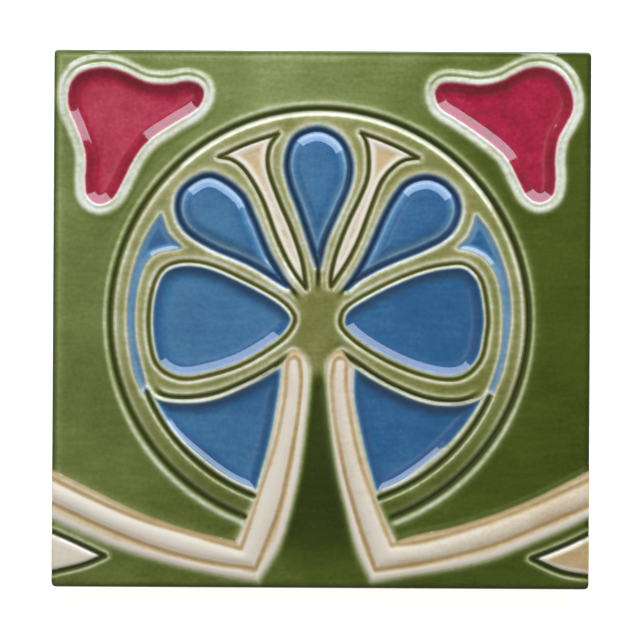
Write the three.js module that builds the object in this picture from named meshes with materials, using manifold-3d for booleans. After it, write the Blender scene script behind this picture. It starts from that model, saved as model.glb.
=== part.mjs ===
// Square pressed wall tile with a relief pattern: a round flower medallion on two straps,
// and two hearts above.
// The tile lies flat on its back. Millimetres, +Z out of the face, +Y towards the top of the pattern.
// The origin is at the middle of the back face.
import * as THREE from 'three';
import { mergeVertices } from 'three/addons/utils/BufferGeometryUtils.js';
import Module from 'manifold-3d';

const wasm = await Module();
wasm.setup();

// Overall sizes
const TILE_SIDE = 152.4;
const FIELD_THICKNESS = 8.4; // from the back to the flat field between the ornaments
const EDGE_ROUND = 0.6; // rounding of the face's outer edge

// Medallion: its ring groove, its centre and how far it stands above the field
const MEDALLION_RADIUS = 59.5; // to the middle of the outer ring groove
const MEDALLION_X = -0.6;
const MEDALLION_Y = 0.3;
const MEDALLION_RISE = 0.6;
const MEDALLION_EDGE = 0.1; // small bevel of its outer edge
const RING_BAND_WIDTH = 6.4; // from the outer ring groove to the inner one
const RING_GROOVE_WIDTH = 1.7;
const RING_GROOVE_DEPTH = 1.0;
const INNER_GROOVE_WIDTH = 1.2;
const RING_START = -71; // degrees, where the ring meets the right strap
const RING_END = 251; // where it meets the left strap
const CRESCENT_FOOT_RIGHT = -24; // the inner groove runs from the straps up to the crescents
const CRESCENT_FOOT_LEFT = 203;
const STEM_TOP_Y = -14.5; // the low strip between the straps starts here, under the flower
const STEM_TOP_HALF_WIDTH = 3.2;
const STEM_FOOT_HALF_WIDTH = 11.5; // where the strip leaves the medallion

// Petals and their neighbours inside the ring
const PETAL_DEPTH = 1.3; // pocket floor below the medallion's surface
const PETAL_WALL = 2.4; // plan width of the sloping pocket wall
const PETAL_GROOVE_OFFSET = 1.2; // from the groove around a petal to the lip of its pocket
const CORNER_PANEL_DEPTH = 1.3;
const CORNER_PANEL_WALL = 2.0;
const CRESCENT_DEPTH = 0.9;
const FINE_GROOVE_WIDTH = 1.2; // grooves around petals, horns and leaves
const FINE_GROOVE_DEPTH = 0.6;
const TEARDROP_GROOVE_WIDTH = 1.6;
const TEARDROP_GROOVE_DEPTH = 0.8;
const TEARDROP_CROWN = 0.7; // dome above the medallion's surface
const TEARDROP_SHOULDER = 2.4; // plan width of the dome's rounded edge
const TEARDROP_BREAK_RISE = 0.42; // the dome is steep up to this height above the medallion's surface
const TEARDROP_BREAK_WIDTH = 0.6; // plan width of that steep foot

// Hearts in the upper corners
const HEART_DEPTH = 1.3; // pocket floor below the field
const HEART_WALL = 2.3;
const HEART_RIM_RISE = 0.5;
const HEART_RIM_WIDTH = 2.7;
const HEART_RIM_SHOULDER = 1.2; // plan width of the rim's sloping outer side
const HEART_GROOVE_OFFSET = 1.3; // from the pocket's lip to the thin groove in the rim
const HEART_GROOVE_WIDTH = 0.7;
const HEART_GROOVE_DEPTH = 0.3;

// Straps and corner leaves
const STRAP_RISE = 0.8; // the lips of a strap above the field
const STRAP_LIP_SHOULDER = 0.5; // plan width of the lips' sloping outer side
const STRAP_LIP_BEVEL = 0.4; // its height
const STRAP_BAND_CROWN = 0.5; // the middle band above the lips
const STRAP_BAND_SHOULDER = 1.1; // plan width of the band's rounded edge
const STRAP_GROOVE_WIDTH = 1.1;
const STRAP_GROOVE_DEPTH = 0.5;
const LEAF_RISE = 0.6;
const LEAF_SHOULDER = 0.6; // plan width of a leaf's sloping side
const LEAF_BEVEL = 0.4; // its height

// Keying grooves in the back
const KEY_GROOVE_COUNT = 7;
const KEY_GROOVE_WIDTH = 9;
const KEY_GROOVE_PITCH = 18;
const KEY_GROOVE_DEPTH = 0.9;
const KEY_GROOVE_LENGTH = 128;

// The outlines below were drawn on a tile and a medallion of these sizes
const DRAWN_HALF_SIDE = 76.2;
const DRAWN_MEDALLION_RADIUS = 59.5;
const DRAWN_MEDALLION_CENTRE = [-0.6, 0.3];

const CUTTER_REACH = 4; // how far cutters stand above the surface that they cut
const ROOT = 2.5; // how far raised pieces reach down into the slab, less than CUTTER_REACH
const CURVE_STEP = 3.2; // longest step along a curve
const RING_STEP = 4.8; // longest step along the ring grooves, which bend less
const SAME_POINT = 0.16; // points closer than this are one
const WELD = 1e-4; // vertices closer than this are merged

// Outlines: each is a list of runs, smooth inside and with a corner where one run meets the next
const LEFT = {
  heart: [[[-72.2, 62.8], [-71.2, 67.1], [-68.1, 70], [-62.4, 71.2], [-57, 70.2], [-50.2, 67.2],
    [-43.9, 66.6], [-38.3, 67.5], [-34.6, 66.2], [-33.7, 63.1], [-35.9, 59.3], [-42.7, 55],
    [-49.2, 50.5], [-53.5, 44.9], [-56.8, 38.2], [-59.4, 33.9], [-63.3, 32.3], [-66.5, 34.5],
    [-67.2, 39], [-67.1, 46.4], [-69.4, 53.5], [-71.6, 58.6]]],
  teardrop: [[[-9.8, 9.5], [-15.3, 18], [-19.3, 28.2], [-23.3, 35.7], [-31.6, 40.8], [-39.2, 37.5],
    [-41.2, 31.5], [-38.6, 25.3], [-31.5, 20.6], [-20.4, 15.6], [-9.8, 9.5]]],
  horn: [[[-29.3, 45.8], [-21.6, 49.4], [-12.6, 52.5]],
    [[-12.6, 52.5], [-15.1, 48.4], [-15.3, 42.4], [-12.2, 33.6], [-8.6, 25.3], [-5.6, 16.4], [-4.4, 8.7]],
    [[-4.4, 8.7], [-8.3, 14], [-12.5, 22.4], [-16.9, 33.8], [-21.6, 41.7], [-25.4, 44.9], [-29.3, 45.8]]],
  petal: [[[-49, 0.8], [-47.7, 9.1], [-44.8, 14.2], [-38.8, 16.2], [-30.9, 15.1], [-20.3, 10.4],
    [-12.1, 5.8], [-8.1, 1.9], [-7.8, -1.5], [-11.7, -6.4], [-21.6, -12.6], [-31.1, -15.9], [-39.5, -17.1],
    [-45.8, -14.1], [-48.3, -8.3]]],
  crescent: [[[-45.7, 29.3], [-49.9, 22.4], [-53.1, 13.5], [-54.6, 3.9], [-54.5, -4.6], [-52.8, -14.9],
    [-50.2, -21.1]],
  [[-49.4, -20.6], [-51.3, -13.7], [-53.1, -4.6], [-53, 5.3], [-51, 13.8], [-47.4, 18.4], [-40, 20.3]],
  [[-40, 20.3], [-43.7, 24.1], [-45.7, 29.3]]],
  cornerPanel: [[[-49.4, -19.4], [-46.3, -22.6], [-39.5, -23.6], [-30.9, -22.8], [-20.8, -18.6],
    [-10.8, -12.8]],
    [[-10.8, -12.8], [-11.6, -20.6], [-13.8, -33.4], [-18, -48.9]],
    [[-18, -48.9], [-26.3, -45.1], [-35.1, -38.6], [-43.4, -30.7], [-49.4, -19.4]]],
  petalRim: [[[-48.8, -18.2], [-44.4, -21.7], [-37.4, -22.3], [-29, -20.8], [-20.4, -17.2], [-14.7, -14.1],
    [-8.1, -9.5]]],
  strap: [[[-10.8, -12.1], [-11.6, -20.6], [-13.8, -33.4], [-17.7, -48.5], [-23.9, -63]],
    [[-23.9, -63], [-37, -59.9], [-51.2, -55], [-64, -49], [-78.2, -42.1]],
    [[-78.2, -55.8], [-65.4, -61.6], [-54, -66.1], [-36.9, -70.7], [-17.6, -74.3]],
    [[-17.6, -74.3], [-11.1, -62.6], [-6.7, -45.6], [-4.5, -29.9], [-3.4, -15.7], [-5.2, -9.8], [-8.3, -8.8],
      [-10.8, -12.1]]],
  strapInnerGroove: [[[-9.7, -13.2], [-10.5, -22.9], [-13, -35.7], [-17, -48.9], [-22.5, -65]],
    [[-22.5, -65], [-36.8, -61], [-51.1, -56.7], [-63.9, -51.4], [-78.2, -44.4]]],
  strapOuterGroove: [[[-6, -12], [-5.6, -18.6], [-6.8, -29.8], [-9.1, -42.6], [-12, -54.7], [-18.2, -70.9]],
    [[-18.2, -70.9], [-34.1, -68.4], [-48.2, -64.5], [-62.5, -58.8], [-78.2, -51.5]]],
  leaf: [[[-78.2, -59.6], [-69.6, -63.4], [-61.1, -67.4]], [[-61.1, -67.4], [-67.7, -70.1], [-78.2, -72.6]]],
};
const RIGHT = {
  heart: [[[31.8, 63.8], [32.5, 66.3], [34.8, 67.5], [38.8, 67.4], [44.5, 66.8], [50.1, 67.8],
    [54.1, 69.8], [58.1, 71.6], [62.3, 72], [66.1, 70.7], [68.9, 68], [70.7, 64.2], [70.9, 59.9],
    [69, 55.7], [66.8, 51.4], [65.9, 45.7], [66.1, 39.6], [65.1, 35.3], [61.7, 33.4], [58.3, 35],
    [55.7, 39.5], [52.3, 45.9], [48.5, 49.6], [43.1, 53.6], [37.7, 57.2], [33.4, 60]]],
  teardrop: [[[7.2, 9], [10.7, 14.2], [14.5, 21.3], [17.3, 28.4], [20.3, 34.1], [24.1, 38.7], [29.6, 40.8],
    [34.6, 39.2], [37.9, 35.3], [38.8, 30.8], [37.2, 25.8], [33.6, 22.8], [27.9, 19.9], [22.2, 17.6],
    [16.6, 15.1], [10.9, 12], [7.2, 9]]],
  horn: [[[27.2, 45.8], [22, 48.5], [16.4, 50.9], [11, 52.8]],
    [[11, 52.8], [12.7, 49.4], [13.2, 44.3], [12.7, 39.5], [10.6, 34.2], [7.7, 28.1], [5.5, 22.7], [3.6, 17],
      [2.6, 12.1], [2.7, 9.3]],
    [[2.7, 9.3], [7.1, 16], [10.2, 22.1], [12.6, 28.4], [14.7, 34.1], [16.8, 39.1], [19.6, 42.6], [22.9, 45],
      [27.2, 45.8]]],
  petal: [[[47.2, 1], [46, 9.2], [43.9, 13.3], [40.1, 15.9], [34.4, 15.6], [28.6, 14.3], [21.5, 11.6],
    [13.8, 7.8], [7.4, 3.8], [5.4, 0.5], [6.1, -2.9], [11, -7.3], [19.3, -12.1], [28, -15.5], [36, -16.9],
    [41.4, -15.5], [45.4, -10.9], [46.8, -4.6]]],
  crescent: [[[43.7, 29.4], [47, 25], [50, 18.7], [52.1, 12.3], [53.1, 5.9], [53.2, -1.2], [52.2, -8.3],
    [50.8, -14.9], [48.3, -20.8]],
  [[47.6, -20.3], [49.7, -14.6], [51.2, -8.3], [51.7, -1.2], [51.4, 5.9], [49.8, 12.7], [46.6, 17.5],
    [42.7, 19.7], [38.7, 20.6]],
  [[38.7, 20.6], [41.5, 23.4], [43.2, 27.1], [43.7, 29.4]]],
  cornerPanel: [[[47.1, -20.3], [44.5, -22.4], [40, -23.6], [35.8, -24], [31.1, -23.6], [25.5, -22],
    [20, -19.5], [14.6, -16.7], [9, -13.1]],
  [[9, -13.1], [8.8, -21.4], [10.4, -29.9], [12.4, -38.4], [15.5, -49.1]],
  [[15.5, -49.1], [22.6, -46.1], [31.1, -40], [38.3, -33.2], [43.8, -25.8], [47.1, -20.3]]],
  petalRim: [[[46.5, -19.7], [41.1, -22.4], [35.9, -22.9], [29.2, -21.9], [22.2, -19.3],
    [15.9, -16.1], [9.8, -12], [5.9, -9.4]]],
  strap: [[[8.8, -13.7], [8.8, -21.4], [10.4, -29.9], [12.4, -38.4], [16.1, -51.1], [21.5, -62.7]],
    [[21.5, -62.7], [28.3, -60.7], [36.8, -58.9], [48.2, -55.4], [59.5, -50.9], [70.8, -45.3],
      [78.2, -41.3]],
    [[78.2, -54.2], [70.9, -58.1], [59.6, -63.1], [48.3, -67.6], [34.1, -70.9], [14.6, -74.1]],
    [[14.6, -74.1], [10.5, -65.3], [7.4, -54], [4.7, -42.7], [2.8, -29.9], [1.5, -15.7], [2.5, -10.6],
      [5.6, -8.7], [8.8, -13.7]]],
  strapInnerGroove: [[[7.2, -13.1], [7.4, -20.5], [9.2, -31.2], [11.8, -41.7], [15.9, -53.4], [20.3, -63.8]],
    [[20.3, -63.8], [28.3, -62.8], [36.9, -60.6], [48.2, -56.9], [59.5, -52.6], [70.9, -47.4],
      [78.2, -44.1]]],
  strapOuterGroove: [[[3.4, -12.8], [2.9, -18.6], [4.3, -31.4], [7.2, -45.6], [11, -58.2], [15.6, -71]],
    [[15.6, -71], [28.3, -69], [39.6, -66.4], [51, -63], [62.2, -58.3], [78.2, -51.4]]],
  leaf: [[[78.2, -59.3], [69.5, -63.6], [59.9, -67.5]],
    [[59.9, -67.5], [65.4, -70.1], [70.2, -71.7], [78.2, -72.7]]],
};
const TOP_TEARDROP = [[[-1, 15.2], [-3.1, 22.6], [-6.3, 31.1], [-9.1, 38.5], [-10, 44.9], [-7.5, 51.3],
  [-1.1, 53.8], [5.3, 51.2], [7.8, 44.8], [6.9, 38.3], [4.1, 30.9], [0.9, 22.4], [-1, 15.2]]];
const TEARDROP_TAILS = [[[-1, 17], [-1, 8]], [[-11, 11.5], [-5.8, 5.3]], [[8.5, 10.8], [4.4, 6.2]]];

const FIELD = FIELD_THICKNESS;
const MEDALLION_TOP = FIELD + MEDALLION_RISE;
const STRAP_TOP = FIELD + STRAP_RISE;

// Layout: the medallion grows with its radius, the hearts keep their distance from the tile's corners,
// and the straps and leaves run out to the tile's sides
const medallionScale = MEDALLION_RADIUS / DRAWN_MEDALLION_RADIUS;
const sideScale = TILE_SIDE / 2 / DRAWN_HALF_SIDE;

function inMedallion([x, y]) {
  return [
    MEDALLION_X + (x - DRAWN_MEDALLION_CENTRE[0]) * medallionScale,
    MEDALLION_Y + (y - DRAWN_MEDALLION_CENTRE[1]) * medallionScale,
  ];
}

function inUpperCorner([x, y]) {
  const outward = TILE_SIDE / 2 - DRAWN_HALF_SIDE;
  return [x + Math.sign(x) * outward, y + outward];
}

function toTheSides([x, y]) {
  return [x * sideScale, y * sideScale];
}

// Points along an outline, close enough to follow its curves
function pointsAlong(runs, place) {
  const all = runs.flatMap((run) => {
    const curve = new THREE.CatmullRomCurve3(
      run.map(place).map(([x, y]) => new THREE.Vector3(x, y, 0)), false, 'catmullrom', 0.5);
    return curve.getSpacedPoints(Math.max(1, Math.round(curve.getLength() / CURVE_STEP)));
  });
  return all.filter((point, i) => i === 0 || point.distanceTo(all[i - 1]) > SAME_POINT);
}

function pointsAround(run, place) {
  const curve = new THREE.CatmullRomCurve3(
    run.map(place).map(([x, y]) => new THREE.Vector3(x, y, 0)), true, 'catmullrom', 0.5);
  return curve.getSpacedPoints(Math.round(curve.getLength() / CURVE_STEP)).slice(0, -1);
}

function closedOutline(points) {
  const last = points[points.length - 1];
  const open = last.distanceTo(points[0]) < SAME_POINT ? points.slice(0, -1) : points;
  return new THREE.Shape(open.map((point) => new THREE.Vector2(point.x, point.y)));
}

function solidOf(geometry) {
  geometry.deleteAttribute('normal');
  geometry.deleteAttribute('uv');
  const merged = mergeVertices(geometry, WELD);
  return new wasm.Manifold(new wasm.Mesh({
    numProp: 3,
    vertProperties: merged.getAttribute('position').array,
    triVerts: Uint32Array.from(merged.index.array),
  }));
}

// A raised piece with a rounded upper edge. Its lower part is buried in the slab.
function raised(points, top, edgeWidth, edgeHeight, grow = 0) {
  const bottom = FIELD - ROOT;
  const geometry = new THREE.ExtrudeGeometry(closedOutline(points), {
    depth: top - bottom - 2 * edgeHeight,
    bevelThickness: edgeHeight,
    bevelSize: edgeWidth,
    bevelOffset: grow - edgeWidth,
    bevelSegments: 1,
  });
  return solidOf(geometry.translate(0, 0, bottom + edgeHeight));
}

// A cutter for a pocket whose wall slopes in from the lip to the floor
function pocket(points, lip, depth, wall, grow = 0) {
  const geometry = new THREE.ExtrudeGeometry(closedOutline(points), {
    depth: CUTTER_REACH,
    bevelThickness: depth,
    bevelSize: wall,
    bevelOffset: grow - wall,
    bevelSegments: 1,
  });
  return solidOf(geometry.translate(0, 0, lip));
}

// A prism drawn in towards its middle at some heights, for pieces with sharp tips.
// levels lists [height, how far the outline is drawn in there].
function drawnIn(points, levels) {
  const [low] = levels[0];
  const [high] = levels[levels.length - 1];
  const count = points.length;
  const middle = points.reduce((sum, point) => sum.add(point), new THREE.Vector3()).divideScalar(count);
  const reach = points.reduce((sum, point) => sum + point.distanceTo(middle), 0) / count;
  const geometry = new THREE.ExtrudeGeometry(closedOutline(points), {
    depth: high - low,
    steps: levels.length - 1,
    bevelEnabled: false,
  });
  const position = geometry.getAttribute('position');
  for (let i = 0; i < position.count; i += 1) {
    const layer = Math.round((position.getZ(i) / (high - low)) * (levels.length - 1));
    const [height, inward] = levels[layer];
    const scale = 1 - inward / reach;
    position.setXYZ(
      i,
      middle.x + (position.getX(i) - middle.x) * scale,
      middle.y + (position.getY(i) - middle.y) * scale,
      height,
    );
  }
  return solidOf(geometry);
}

// A path made longer at both ends, so that grooves that meet at a corner run into each other
function lengthened(points, by) {
  const end = points.length - 1;
  const before = points[0].clone().sub(points[1]).setLength(by).add(points[0]);
  const after = points[end].clone().sub(points[end - 1]).setLength(by).add(points[end]);
  return [before, ...points, after];
}

// A cutter for a V groove along a path
function groove(points, surface, width, depth) {
  const line = lengthened(points, width / 2).map((point) => new THREE.Vector3(point.x, point.y, surface));
  const path = new THREE.CatmullRomCurve3(line);
  const section = new THREE.Shape([
    new THREE.Vector2(-CUTTER_REACH, -width / 2),
    new THREE.Vector2(0, -width / 2),
    new THREE.Vector2(depth, 0),
    new THREE.Vector2(0, width / 2),
    new THREE.Vector2(-CUTTER_REACH, width / 2),
  ]);
  return solidOf(new THREE.ExtrudeGeometry(section, {
    steps: line.length - 1,
    bevelEnabled: false,
    extrudePath: path,
  }));
}

// A closed or pointed groove is cut in two halves that meet at both ends
function grooveAround(points, surface, width, depth) {
  const half = Math.floor(points.length / 2);
  const closing = points.slice(half).concat([points[0]]);
  return [points.slice(0, half + 1), closing].map((part) => groove(part, surface, width, depth));
}

// Outline moved outwards along its own normals
function movedOut(points, distance) {
  return points.map((point, i) => {
    const before = points[(i + points.length - 1) % points.length];
    const after = points[(i + 1) % points.length];
    const along = after.clone().sub(before).normalize();
    return new THREE.Vector3(point.x + along.y * distance, point.y - along.x * distance, 0);
  });
}

function counterClockwise(points) {
  return THREE.ShapeUtils.isClockWise(points) ? points.slice().reverse() : points;
}

// Everything between two heights inside the tile's square outline
function tileBlock(low, high) {
  const block = new THREE.BoxGeometry(TILE_SIDE, TILE_SIDE, high - low);
  return solidOf(block.translate(0, 0, (low + high) / 2));
}

function slab() {
  const flat = TILE_SIDE / 2 - EDGE_ROUND;
  const square = new THREE.Shape([
    new THREE.Vector2(-flat, -flat),
    new THREE.Vector2(flat, -flat),
    new THREE.Vector2(flat, flat),
    new THREE.Vector2(-flat, flat),
  ]);
  const geometry = new THREE.ExtrudeGeometry(square, {
    depth: FIELD_THICKNESS,
    bevelThickness: EDGE_ROUND,
    bevelSize: EDGE_ROUND,
    bevelSegments: 3,
  });
  return solidOf(geometry.translate(0, 0, -EDGE_ROUND)).intersect(tileBlock(0, FIELD));
}

function ringArc(radius, fromDegrees, toDegrees) {
  const sweep = THREE.MathUtils.degToRad(toDegrees - fromDegrees);
  const steps = Math.ceil((radius * sweep) / RING_STEP);
  return Array.from({ length: steps + 1 }, (_, i) => {
    const angle = THREE.MathUtils.degToRad(fromDegrees) + (sweep * i) / steps;
    return new THREE.Vector3(
      MEDALLION_X + radius * Math.cos(angle), MEDALLION_Y + radius * Math.sin(angle), 0);
  });
}

// The medallion's disc, without the low strip between the straps
function medallionDisc() {
  const circle = ringArc(MEDALLION_RADIUS, 0, 360).slice(0, -1);
  const disc = raised(circle, MEDALLION_TOP, MEDALLION_EDGE, MEDALLION_EDGE);
  const foot = -MEDALLION_RADIUS - RING_GROOVE_WIDTH;
  const strip = new THREE.Shape([
    new THREE.Vector2(MEDALLION_X - STEM_TOP_HALF_WIDTH, STEM_TOP_Y),
    new THREE.Vector2(MEDALLION_X - STEM_FOOT_HALF_WIDTH, foot),
    new THREE.Vector2(MEDALLION_X + STEM_FOOT_HALF_WIDTH, foot),
    new THREE.Vector2(MEDALLION_X + STEM_TOP_HALF_WIDTH, STEM_TOP_Y),
  ]);
  const through = new THREE.ExtrudeGeometry(strip, { depth: 2 * CUTTER_REACH, bevelEnabled: false });
  return disc.subtract(solidOf(through.translate(0, 0, FIELD - CUTTER_REACH)));
}

function ringGrooves() {
  const outer = grooveAround(
    ringArc(MEDALLION_RADIUS, RING_START, RING_END), MEDALLION_TOP, RING_GROOVE_WIDTH, RING_GROOVE_DEPTH);
  const innerRadius = MEDALLION_RADIUS - RING_BAND_WIDTH;
  const inner = [[RING_START, CRESCENT_FOOT_RIGHT], [CRESCENT_FOOT_LEFT, RING_END]].map(([from, to]) => (
    groove(ringArc(innerRadius, from, to), MEDALLION_TOP, INNER_GROOVE_WIDTH, FINE_GROOVE_DEPTH)));
  return [...outer, ...inner];
}

function flowerCuts({ petal, crescent, cornerPanel, petalRim, horn, teardrop }) {
  const petalLine = counterClockwise(pointsAround(petal[0], inMedallion));
  const petalPocket = pocket(petalLine, MEDALLION_TOP, PETAL_DEPTH, PETAL_WALL, -PETAL_GROOVE_OFFSET);
  const panelPocket = drawnIn(counterClockwise(pointsAlong(cornerPanel, inMedallion)), [
    [MEDALLION_TOP - CORNER_PANEL_DEPTH, CORNER_PANEL_WALL],
    [MEDALLION_TOP, 0],
    [MEDALLION_TOP + CUTTER_REACH, 0],
  ]);
  const crescentPocket = drawnIn(counterClockwise(pointsAlong(crescent, inMedallion)), [
    [MEDALLION_TOP - CRESCENT_DEPTH, 0],
    [MEDALLION_TOP + CUTTER_REACH, 0],
  ]);
  const fine = (points) => groove(points, MEDALLION_TOP, FINE_GROOVE_WIDTH, FINE_GROOVE_DEPTH);
  return [
    petalPocket,
    panelPocket,
    crescentPocket,
    ...grooveAround(petalLine, MEDALLION_TOP, FINE_GROOVE_WIDTH, FINE_GROOVE_DEPTH),
    fine(pointsAlong(petalRim, inMedallion)),
    ...horn.map((run) => fine(pointsAlong([run], inMedallion))),
    ...teardropGroove(teardrop),
  ];
}

function teardropGroove(outline) {
  return grooveAround(
    pointsAlong(outline, inMedallion), MEDALLION_TOP, TEARDROP_GROOVE_WIDTH, TEARDROP_GROOVE_DEPTH);
}

function teardropDome(outline) {
  const foot = TEARDROP_GROOVE_WIDTH / 2;
  return drawnIn(counterClockwise(pointsAlong(outline, inMedallion)), [
    [FIELD - ROOT, foot],
    [MEDALLION_TOP, foot],
    [MEDALLION_TOP + TEARDROP_BREAK_RISE, foot + TEARDROP_BREAK_WIDTH],
    [MEDALLION_TOP + TEARDROP_CROWN, foot + TEARDROP_SHOULDER],
  ]);
}

function strap({ strap: outline, strapInnerGroove, strapOuterGroove }) {
  const edge = counterClockwise(pointsAlong(outline, toTheSides));
  const lips = raised(edge, STRAP_TOP, STRAP_LIP_SHOULDER, STRAP_LIP_BEVEL);
  const inner = pointsAlong(strapInnerGroove, toTheSides);
  const outer = pointsAlong(strapOuterGroove, toTheSides);
  const bandLine = counterClockwise([...inner, ...outer.slice().reverse()]);
  const band = raised(bandLine, STRAP_TOP + STRAP_BAND_CROWN, STRAP_BAND_SHOULDER, STRAP_BAND_CROWN);
  const cuts = [...strapInnerGroove, ...strapOuterGroove].map((run) => (
    groove(pointsAlong([run], toTheSides), STRAP_TOP, STRAP_GROOVE_WIDTH, STRAP_GROOVE_DEPTH)));
  return joined([lips, band]).subtract(joined(cuts));
}

function heart(body, { heart: [outline] }) {
  const line = counterClockwise(pointsAround(outline, inUpperCorner));
  const rim = raised(line, FIELD + HEART_RIM_RISE, HEART_RIM_SHOULDER, HEART_RIM_RISE, HEART_RIM_WIDTH);
  const hollow = pocket(line, FIELD + HEART_RIM_RISE, HEART_DEPTH + HEART_RIM_RISE, HEART_WALL);
  const rimGroove = grooveAround(
    movedOut(line, HEART_GROOVE_OFFSET), FIELD + HEART_RIM_RISE, HEART_GROOVE_WIDTH, HEART_GROOVE_DEPTH);
  return body.add(rim).subtract(joined([hollow, ...rimGroove]));
}

function leaf(body, { leaf: outline }) {
  const line = counterClockwise(pointsAlong(outline, toTheSides));
  const cuts = outline.map((run) => (
    groove(pointsAlong([run], toTheSides), FIELD, FINE_GROOVE_WIDTH, FINE_GROOVE_DEPTH)));
  return body.add(raised(line, FIELD + LEAF_RISE, LEAF_SHOULDER, LEAF_BEVEL)).subtract(joined(cuts));
}

function keyGrooves() {
  return joined(Array.from({ length: KEY_GROOVE_COUNT }, (_, i) => {
    const bar = new THREE.BoxGeometry(KEY_GROOVE_LENGTH, KEY_GROOVE_WIDTH, 2 * KEY_GROOVE_DEPTH);
    return solidOf(bar.translate(0, (i - (KEY_GROOVE_COUNT - 1) / 2) * KEY_GROOVE_PITCH, 0));
  }));
}

function joined(solids) {
  return solids.reduce((sum, solid) => sum.add(solid));
}

function tile() {
  const halves = [LEFT, RIGHT];
  let body = slab().add(medallionDisc());
  body = body.subtract(joined([
    ...ringGrooves(),
    ...halves.flatMap(flowerCuts),
    ...teardropGroove(TOP_TEARDROP),
    ...TEARDROP_TAILS.map((run) => (
      groove(pointsAlong([run], inMedallion), MEDALLION_TOP, FINE_GROOVE_WIDTH, FINE_GROOVE_DEPTH))),
  ]));
  body = body.add(joined([TOP_TEARDROP, LEFT.teardrop, RIGHT.teardrop].map(teardropDome)));
  body = body.add(joined(halves.map(strap)));
  halves.forEach((half) => {
    body = leaf(heart(body, half), half);
  });
  return body.subtract(keyGrooves()).intersect(tileBlock(0, STRAP_TOP + CUTTER_REACH));
}

function meshOf(solid, name, material) {
  const { vertProperties, triVerts } = solid.getMesh();
  const geometry = new THREE.BufferGeometry();
  geometry.setAttribute('position', new THREE.BufferAttribute(vertProperties, 3));
  geometry.setIndex(new THREE.BufferAttribute(triVerts, 1));
  geometry.computeVertexNormals();
  const mesh = new THREE.Mesh(geometry, material);
  mesh.name = name;
  return mesh;
}

const greenGlaze = new THREE.MeshStandardMaterial({ color: 0x6f7a42, roughness: 0.15, metalness: 0 });

const part = new THREE.Group();
part.add(meshOf(tile(), 'tile', greenGlaze));
export default part;
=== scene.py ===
"""Looks of a glazed relief wall tile that lies on a pale floor, seen from straight above.

The tile is pressed from one piece of buff earthenware. Its face is flooded with transparent coloured
glazes, which run thin and pale over every ridge and pool dark in every groove. Lengths are worked out in
millimetres and scaled at the end.
"""

import math

import bmesh
import bpy
import numpy as np
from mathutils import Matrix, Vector
from mathutils.geometry import delaunay_2d_cdt
from mathutils.kdtree import KDTree


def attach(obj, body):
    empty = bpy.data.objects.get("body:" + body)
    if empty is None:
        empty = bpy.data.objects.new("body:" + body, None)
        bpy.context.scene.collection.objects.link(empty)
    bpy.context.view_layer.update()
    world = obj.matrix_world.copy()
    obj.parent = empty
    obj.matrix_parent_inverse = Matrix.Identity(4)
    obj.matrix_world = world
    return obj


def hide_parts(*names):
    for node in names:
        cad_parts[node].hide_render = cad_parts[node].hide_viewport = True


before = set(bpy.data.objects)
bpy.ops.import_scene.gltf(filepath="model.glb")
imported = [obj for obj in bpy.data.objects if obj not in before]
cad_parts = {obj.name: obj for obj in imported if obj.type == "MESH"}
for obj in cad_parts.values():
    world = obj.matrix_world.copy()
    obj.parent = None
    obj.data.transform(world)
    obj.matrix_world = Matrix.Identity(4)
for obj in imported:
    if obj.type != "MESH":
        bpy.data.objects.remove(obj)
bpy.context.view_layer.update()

MM = 0.001
HALF_SIDE = 76.2
FIELD_TOP = 8.4  # the flat field's height above the back
EDGE_ROUND = 0.6
CORNER_RADIUS = 1.2  # of the square's four corners, seen from above

# Heights above the field
MEDALLION_RISE = 0.6
HEART_FLOOR = -1.3
POCKET_FLOOR = -0.75
CRESCENT_FLOOR = -0.05
TAIL_DEPTH = 0.25  # below the medallion

# Keying grooves in the back
KEY_GROOVE_COUNT = 7
KEY_GROOVE_WIDTH = 9
KEY_GROOVE_PITCH = 18
KEY_GROOVE_DEPTH = 0.9
KEY_GROOVE_LENGTH = 128

MEDALLION_CENTRE = np.array([-0.63, 0.0])
RING_RADIUS = 59.45
RING_STRETCH = np.array([0.996, 1.004])  # the ring is a little taller than wide
INNER_RING_RADIUS = 53.1
RING_START, RING_END = -71, 251  # degrees, where the ring meets the straps
CRESCENT_FOOT_RIGHT, CRESCENT_FOOT_LEFT = -24, 203

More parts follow.
